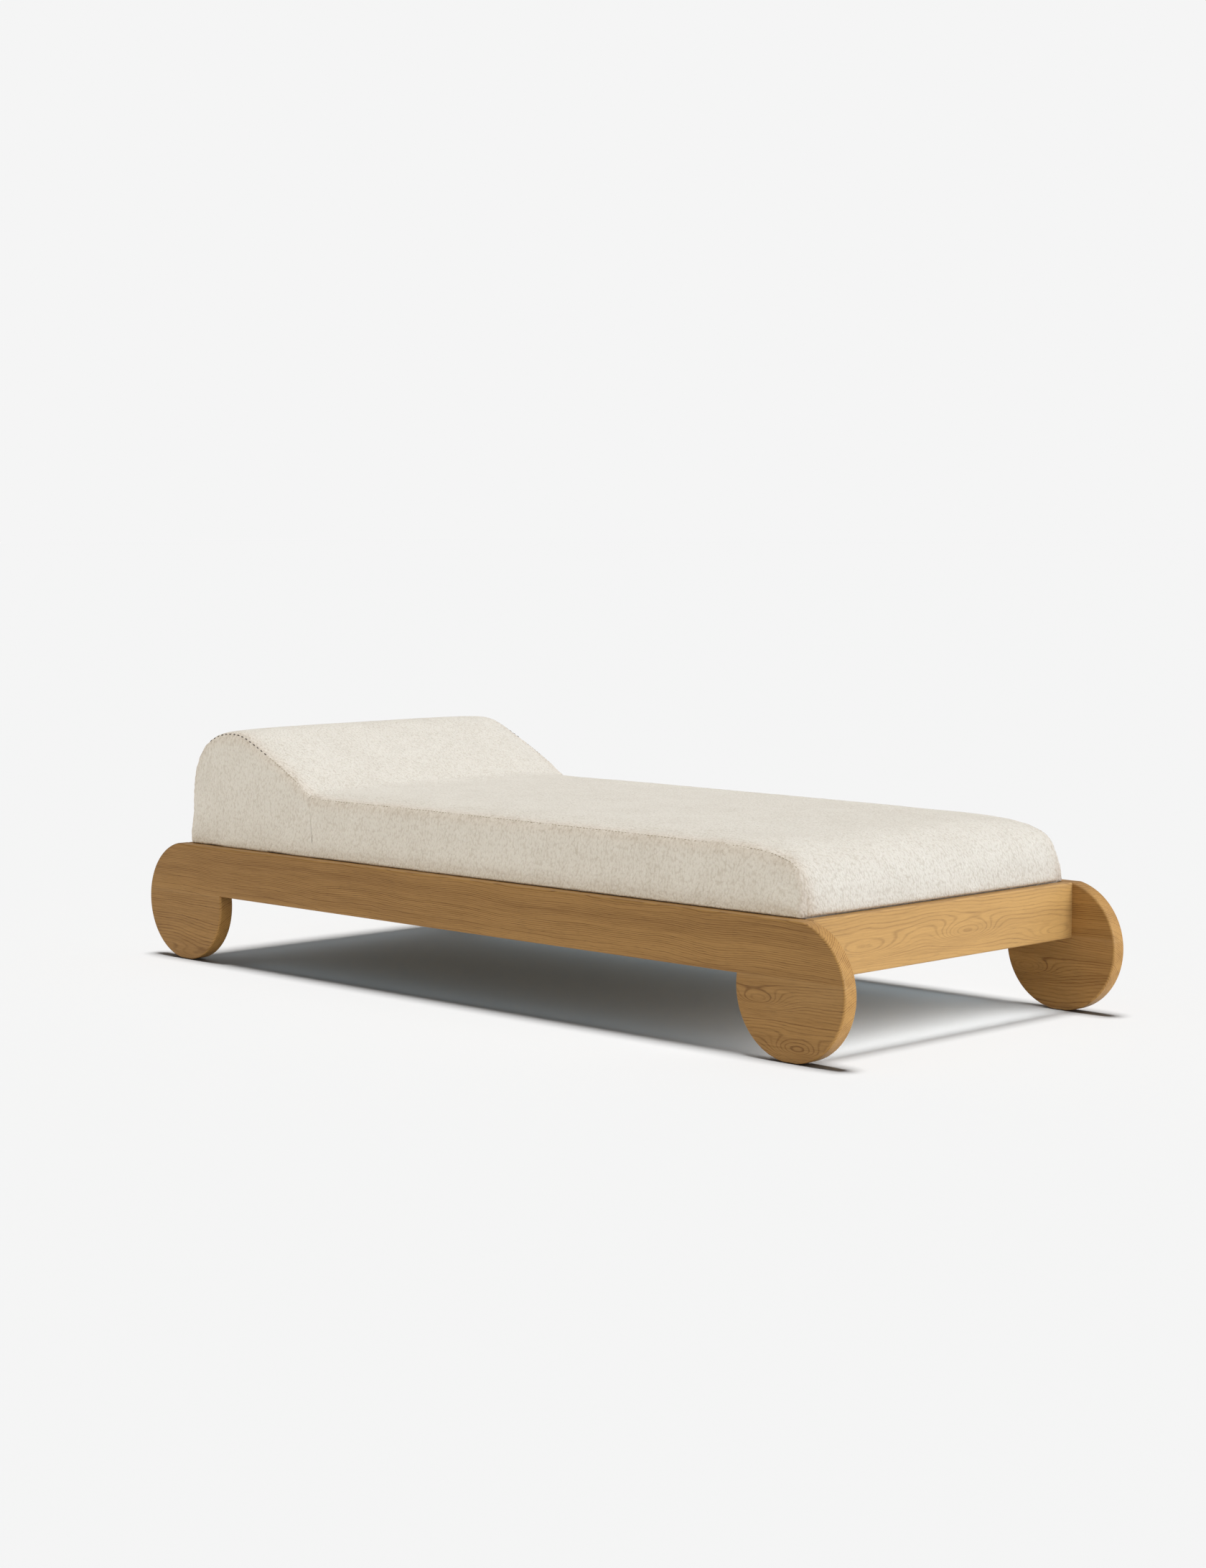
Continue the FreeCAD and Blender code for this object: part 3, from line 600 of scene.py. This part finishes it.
def make_cushion(material):
    """The cover at full fineness, pushed out by the stuffing, with the boucle's nubs
    raised on it: low all over, and coarser in the rows beside each seam."""
    surfaces, edges, seam = cushion_surfaces(*COVER_GRID)
    pushes = stuffed(*COARSE_GRID)
    surfaces = [g + resampled(p, *g.shape[:2]) for g, p in zip(surfaces, pushes)]
    surfaces = sewn_up(surfaces)
    points, faces, place = joined(surfaces)
    placket = zip_placket(points)
    points[:, 1] += (SIDE_FACE - 0.6 * MM - points[:, 1]) * placket
    inside = points[:, 2] < RAIL_TOP + 0.001
    points[inside, 0] = np.clip(points[inside, 0], HEAD_BASE, FOOT_FACE)
    points[inside, 1] = np.clip(points[inside, 1], -SIDE_FACE, SIDE_FACE)
    piece = make_piece("boucle_cushion", points, faces, material)
    edge = np.empty(len(points))
    edge[place] = np.concatenate([e.ravel() for e in edges])
    beside = np.exp(-(edge / 0.018) ** 2)
    layer = piece.data.attributes.new("beside_seam", "FLOAT", "POINT")
    layer.data.foreach_set("value", beside.astype(np.float32))
    weld(piece, 0)
    rows = piece.vertex_groups.new(name="beside_seam")
    for level in np.linspace(0.1, 1, 10):
        chosen = np.flatnonzero((np.round(beside, 1) == round(level, 1)) & (points[:, 2] > RAIL_TOP))
        rows.add(chosen.tolist(), float(level), "REPLACE")
    clear = piece.vertex_groups.new(name="clear_of_boards")
    clear.add(np.flatnonzero((points[:, 2] > RAIL_TOP + 0.002) & (placket < 0.2)).tolist(), 1.0, "REPLACE")
    for name, size, height, group in (("nubs", 9 * MM, 1.0 * MM, "clear_of_boards"),
                                      ("seam_rows", 11 * MM, 1.6 * MM, "beside_seam")):
        pattern = bpy.data.textures.new(name, "VORONOI")
        pattern.noise_scale = size
        pattern.weight_1 = -1.0
        nap = piece.modifiers.new(name, "DISPLACE")
        nap.texture = pattern
        nap.texture_coords = "LOCAL"
        nap.strength = height
        nap.mid_level = -0.35
        nap.vertex_group = group
    return piece, seam


def along_path(path, spacing):
    """Places at equal steps along a path of points, and the path's direction at each."""
    length = np.concatenate([[0], np.cumsum(np.linalg.norm(np.diff(path, axis=0), axis=1))])
    at = np.arange(spacing / 2, length[-1], spacing)
    place = np.stack([np.interp(at, length, path[:, k]) for k in range(3)], -1)
    ahead = np.stack([np.interp(at + 1 * MM, length, path[:, k]) for k in range(3)], -1) - place
    return place, ahead / np.maximum(np.linalg.norm(ahead, axis=1, keepdims=True), 1e-9)


def stitches(name, path, material, spacing=9 * MM, long=6.5 * MM, thick=1.5 * MM):
    """Thread showing between holes: at each place a spindle of six-cornered rings whose
    radius is thick / 2 times the square root of 1 - s squared, s from -1 to 1 along it."""
    place, ahead = along_path(path, spacing)
    up = np.array([0.0, 0.35, 0.94])
    side = np.cross(ahead, up)
    side /= np.linalg.norm(side, axis=1, keepdims=True)
    top = np.cross(side, ahead)
    s = np.array([-0.96, -0.6, 0.0, 0.6, 0.96])
    corners = 6
    each = len(s) * corners
    turn = np.arange(corners) * 2 * math.pi / corners
    radius = thick / 2 * np.sqrt(1 - s ** 2)
    ring = (np.cos(turn)[None, :, None] * side[:, None, None]
            + np.sin(turn)[None, :, None] * top[:, None, None])
    points = (place[:, None, None] + ahead[:, None, None] * (s * long / 2)[None, :, None, None]
              + ring * radius[None, :, None, None])
    count = len(place)
    one = grid_faces(len(s), corners, close_columns=True)
    first = np.arange(count)[:, None] * each
    faces = (one[None] + first[:, None]).reshape(-1, 4).tolist()
    faces += (first + np.arange(corners)[None, ::-1]).tolist()
    faces += (first + each - corners + np.arange(corners)[None]).tolist()
    piece = make_piece(name, points.reshape(-1, 3), faces, material)
    weld(piece, 0)
    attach(piece, "cushion")


def make_seam_threads(seam):
    """Lockstitching that shows along both long seams: on the crest, where the seam is
    pulled open, a dark brown thread as painted shade of the open seam, and the cover's
    own colour along the seat."""
    for label, sign in (("near", -1), ("far", 1)):
        proud = 1.5 * MM
        path = np.stack([seam[:, 0], np.full(len(seam), sign * (SEAM_Y + proud)), seam[:, 1] + proud], -1)
        above = seam[:, 1] > RAIL_TOP + 20 * MM
        crest = above & (seam[:, 0] < CREST_END) & (seam[:, 0] > CREST_START)
        stitches(label + "_crest_stitches", path[crest], crest_thread_painted_shade, 15 * MM, 8 * MM, 2.6 * MM)
        seat = above & (seam[:, 0] > CREST_END)
        stitches(label + "_seat_stitches", path[seat], pale_thread)


def boxes(centres, sizes):
    """Points and faces of upright boxes, from (n, 3) arrays of centres and sizes."""
    corner = np.array([(x, y, z) for x in (-1, 1) for y in (-1, 1) for z in (-1, 1)]) / 2
    points = centres[:, None] + corner[None] * sizes[:, None]
    one = np.array([(0, 1, 3, 2), (4, 6, 7, 5), (0, 4, 5, 1), (2, 3, 7, 6), (0, 2, 6, 4), (1, 5, 7, 3)])
    faces = (one[None] + 8 * np.arange(len(centres))[:, None, None]).reshape(-1, 4)
    return points.reshape(-1, 3), faces.tolist()


def make_zip():
    """Zip on the far side: a woven tape, and interlocking moulded teeth 1.5 mm thick
    every 2.4 mm, in turn a little above and below the middle."""
    low, high = ZIP_LOW, ZIP_HIGH
    middle = (low + high) / 2
    pitch = 2.4 * MM
    x = np.arange(low[0] + pitch, high[0] - pitch / 2, pitch)
    shift = 0.6 * MM * np.where(np.arange(len(x)) % 2, 1, -1)
    face = high[1] - low[1]
    centres = np.stack([x, np.full(len(x), middle[1]), middle[2] + shift], -1)
    sizes = np.tile([1.5 * MM, face, 3.8 * MM], (len(x), 1))
    teeth = make_piece("zip_teeth", *boxes(centres, sizes), coil, smooth=False)
    back = np.array([[middle[0], low[1] + 0.1 * MM, middle[2]]])
    size = np.array([[high[0] - low[0] + 16 * MM, 0.8 * MM, 18 * MM]])
    strip = make_piece("zip_tape", *boxes(back, size), tape, smooth=False)
    edge = strip.modifiers.new("selvedge", "BEVEL")
    edge.width = 0.3 * MM
    for piece in (teeth, strip):
        weld(piece)
        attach(piece, "cushion")
    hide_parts("zip_chain")


def sewn_up(surfaces):
    """Gives the shared edges of the grids the band's places again."""
    band, near, far = surfaces
    near[:, -1] = band[:, 0]
    far[:, -1] = band[:, -1]
    return [band, near, far]


# ---- build ------------------------------------------------------------------------
quarter_turn = math.pi / 2
boards = {
    "near": oak("oak_near_board", (0.3, -0.30, -0.02), (0.0, 0.004, 0.01), ring=3.4 * MM, wild=0.003),
    "far": oak("oak_far_board", (-0.2, 0.31, -0.03), (0.0, -0.005, 0.01), ring=3.4 * MM, wild=0.003),
}
FLAME = (0.065, 0.2, 0.020)
feet = {
    "near": (oak("oak_near_head_foot", (-0.9, -0.33, -0.06), (0.0, 0.01, 0.03), ring=5.0 * MM, wild=0.005,
                 eyes=[((-0.915, -0.436, 0.014), (0.10, 0.2, 0.014), 0.014)]),
             oak("oak_near_foot_foot", (0.95, -0.33, -0.06), (0.0, -0.01, -0.02), ring=4.6 * MM, wild=0.004,
                 eyes=[((0.853, -0.436, 0.110), FLAME, 0.036), ((0.945, -0.436, 0.026), FLAME, 0.034)])),
    "far": (oak("oak_far_head_foot", (-0.9, 0.34, -0.10), (0.0, 0.01, -0.02), ring=4.6 * MM, wild=0.006),
            oak("oak_far_foot_foot", (0.85, 0.31, -0.04), (0.0, 0.01, 0.02), ring=4.6 * MM, wild=0.005,
                eyes=[((0.845, 0.401, 0.080), FLAME, 0.036)])),
}
near_oak = oak_side(-1, "near", boards["near"], feet["near"])
oak_side(1, "far", boards["far"], feet["far"])

end_oak = {
    "foot": oak("oak_foot_board", (0.86, 0.05, 0.12), (0.0, 0.0, quarter_turn + 0.02),
                ring=4.8 * MM, wild=0.004,
                eyes=[((0.957, 0.050, 0.200), (0.2, 0.085, 0.022), 0.042),
                      ((0.957, -0.26, 0.196), (0.2, 0.120, 0.024), 0.034),
                      ((0.957, 0.34, 0.172), (0.2, 0.085, 0.016), 0.018)]),
    "head": oak("oak_head_board", (-0.86, 0.1, 0.12), (0.0, 0.0, quarter_turn - 0.02),
                ring=4.8 * MM, wild=0.005,
                eyes=[((-0.957, 0.12, 0.205), (0.2, 0.100, 0.022), 0.038)]),
}
pine = raw_wood("planed_pine_slats", "#e0c493", "#c9a66e", (0, 0, quarter_turn))
pine_long = raw_wood("planed_pine_ledger", "#dcc08e", "#c5a26a")
beech = raw_wood("beech_dowels", "#d9b98a", "#c39b66")
zinc = plain("zinc_plated_steel", "#b4b3ad", 0.38, metallic=1.0, grain=0.15)
nickel = plain("nickel_plated_alloy", "#b8ad98", 0.28, metallic=1.0, grain=0.08)
nylon = plain("black_nylon", "#2b2622", 0.5, grain=0.2)
tape = plain("woven_zip_tape", "#cfc6b4", 0.85, grain=0.6, scale=1500.0)
coil = plain("moulded_acetal_teeth", "#a89c86", 0.4, grain=0.1)
cloth = boucle("cream_boucle")
# The dark brown crest thread stands in for the shade inside the pulled-open seam: painted shade.
crest_thread_painted_shade = plain("thread_with_painted_seam_shade", "#3a2a1c", 0.7, grain=0.5, scale=2500.0)
pale_thread = plain("beige_polyester_thread", "#b8a88c", 0.75, grain=0.5, scale=2500.0)


def finish_of(name):
    """Material of a CAD node that stays in view."""
    if name.endswith("_end_board"):
        return end_oak[name.split("_")[0]]
    if "dowels" in name:
        return beech
    if "screws" in name or "bracket" in name:
        return zinc
    if "glide" in name:
        return nylon
    if "ledger" in name:
        return pine_long
    if name.startswith("slat_"):
        return pine
    if name in ("zip_slider", "zip_pull"):
        return nickel
    if name == "zip_chain":
        return tape
    return cloth


for name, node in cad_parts.items():
    node.data.materials.clear()
    node.data.materials.append(finish_of(name))

cushion, seam = make_cushion(cloth)
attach(cushion, "cushion")
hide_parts(*[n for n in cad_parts
                       if n.startswith("cover_") or n.endswith(("_side_panel", "_foam"))
                       or n in ("seat_foam_core", "seat_comfort_layer")])
make_seam_threads(seam)
make_zip()


# ---- stage ----------------------------------------------------------------------
def make_floor(code):
    """Large pale floor, lit until it is as bright as the surround, so that no edge shows."""
    material, tree = blank("pale_floor")
    diffuse = add(tree, "BsdfDiffuse", {"Color": colour(code)})
    add(tree, "OutputMaterial", {"Surface": diffuse})
    size = 400.0
    points = np.array([(-size, -size, 0), (size, -size, 0), (size, size, 0), (-size, size, 0)], float)
    floor = make_piece("floor", points, [(0, 1, 2, 3)], material, smooth=False)
    return floor


def make_surround(seen_code, lit_strength):
    """White surround: its plain colour to the camera, and a weaker light on the object."""
    world = bpy.data.worlds.new("surround")
    bpy.context.scene.world = world
    world.use_nodes = True
    tree = world.node_tree
    tree.nodes.clear()
    seen = add(tree, "Background", {"Color": colour(seen_code), "Strength": 1.0})
    lit = add(tree, "Background", {"Color": colour("#ffffff"), "Strength": lit_strength})
    path = add(tree, "LightPath")
    both = add(tree, "MixShader", {0: path.outputs["Is Camera Ray"], 1: lit, 2: seen})
    add(tree, "OutputWorld", {"Surface": both})


def toward(azimuth, elevation):
    """Unit vector; azimuth as for the camera, 0 in front of the object, 90 at its foot end."""
    a, e = math.radians(azimuth), math.radians(elevation)
    return Vector((math.sin(a) * math.cos(e), -math.cos(a) * math.cos(e), math.sin(e)))


def lamp(name, kind, place, energy, only=(), spared=(), facing=None, **settings):
    """Light at place, shining from there to the origin, or away from the facing direction.
    It lights some objects only, or spares some."""
    light = bpy.data.lights.new(name, kind)
    light.energy = energy
    for key, value in settings.items():
        setattr(light, key, value)
    holder = bpy.data.objects.new(name, light)
    holder.location = place
    holder.rotation_mode = "QUATERNION"
    holder.rotation_quaternion = Vector(facing or place).to_track_quat("Z", "Y")
    holder.visible_camera = False
    bpy.context.scene.collection.objects.link(holder)
    linked = bpy.data.collections.new(name + "_links")
    for piece in (*only, *spared):
        linked.objects.link(piece)
    for link in linked.collection_objects:
        link.light_linking.link_state = "INCLUDE" if only else "EXCLUDE"
    holder.light_linking.receiver_collection = linked


floor = make_floor("#a0a0a0")
make_surround("#f5f5f5", 0.20)
lamp("floor_top_box", "SUN", (0, 0, 5), 7.52, only=[floor], angle=math.radians(20))
OPENING_LOW = 35 * MM
for name, facing, width, power, tint in (("foot_opening", (1, 0, 0), 0.79, 2.75, (0.97, 0.99, 1.0)),
                                         ("head_opening", (-1, 0, 0), 0.79, 0.42, (0.80, 0.92, 1.0)),
                                         ("near_opening", (0, -1, 0), 1.50, 0.42, (0.70, 0.88, 1.0)),
                                         ("far_opening", (0, 1, 0), 1.50, 1.0, (0.70, 0.88, 1.0))):
    reach = (FOOT_X + 0.028, HALF_WIDTH - SIDE_T / 2)
    place = (facing[0] * reach[0], facing[1] * reach[1], (OPENING_LOW + UNDERSIDE) / 2)
    lamp(name, "AREA", place, power, only=[floor], facing=facing, shape="RECTANGLE", size=width,
         size_y=UNDERSIDE - OPENING_LOW, color=tint)
DAYLIGHT = (0.95, 0.97, 1.0)
SKY_BLUE = (0.78, 0.93, 1.0)
for name, azimuth, elevation, power, spread, tint, linked in (
        ("top_box", 90, 80, 1.45, 90, DAYLIGHT, {"spared": [floor]}),
        ("right_box", 125, 20, 1.65, 80, DAYLIGHT, {"spared": [floor]}),
        ("board_box", 98, 12, 1.92, 30, SKY_BLUE, {"spared": [floor, cushion]}),
        ("near_box", 0, 12, 0.20, 60, SKY_BLUE, {"only": near_oak}),
        ("rear_fill", 215, 25, 0.40, 100, (1.0, 0.92, 0.80), {"spared": [floor]}),
        ("cushion_fill", -20, 10, 0.92, 120, (1.0, 0.82, 0.50), {"only": [cushion]})):
    lamp(name, "SUN", toward(azimuth, elevation) * 5, power, angle=math.radians(spread), color=tint,
         **linked)

# ---- camera -----------------------------------------------------------------------
CAMERA_AT = (4.3557, -4.3274, 0.9730)
CAMERA_AZIMUTH, CAMERA_ELEVATION, CAMERA_ROLL = 45.17, 5.005, -0.07
camera = bpy.data.objects.new("camera", bpy.data.cameras.new("camera"))
bpy.context.scene.collection.objects.link(camera)
bpy.context.scene.camera = camera
camera.data.sensor_width = 36.0
camera.data.lens = 65.07
back = toward(CAMERA_AZIMUTH, CAMERA_ELEVATION)
camera.location = CAMERA_AT
camera.rotation_mode = "QUATERNION"
camera.rotation_quaternion = back.to_track_quat("Z", "Y") @ Matrix.Rotation(
    math.radians(CAMERA_ROLL), 4, "Z").to_quaternion()
bpy.context.scene.view_settings.view_transform = "Standard"
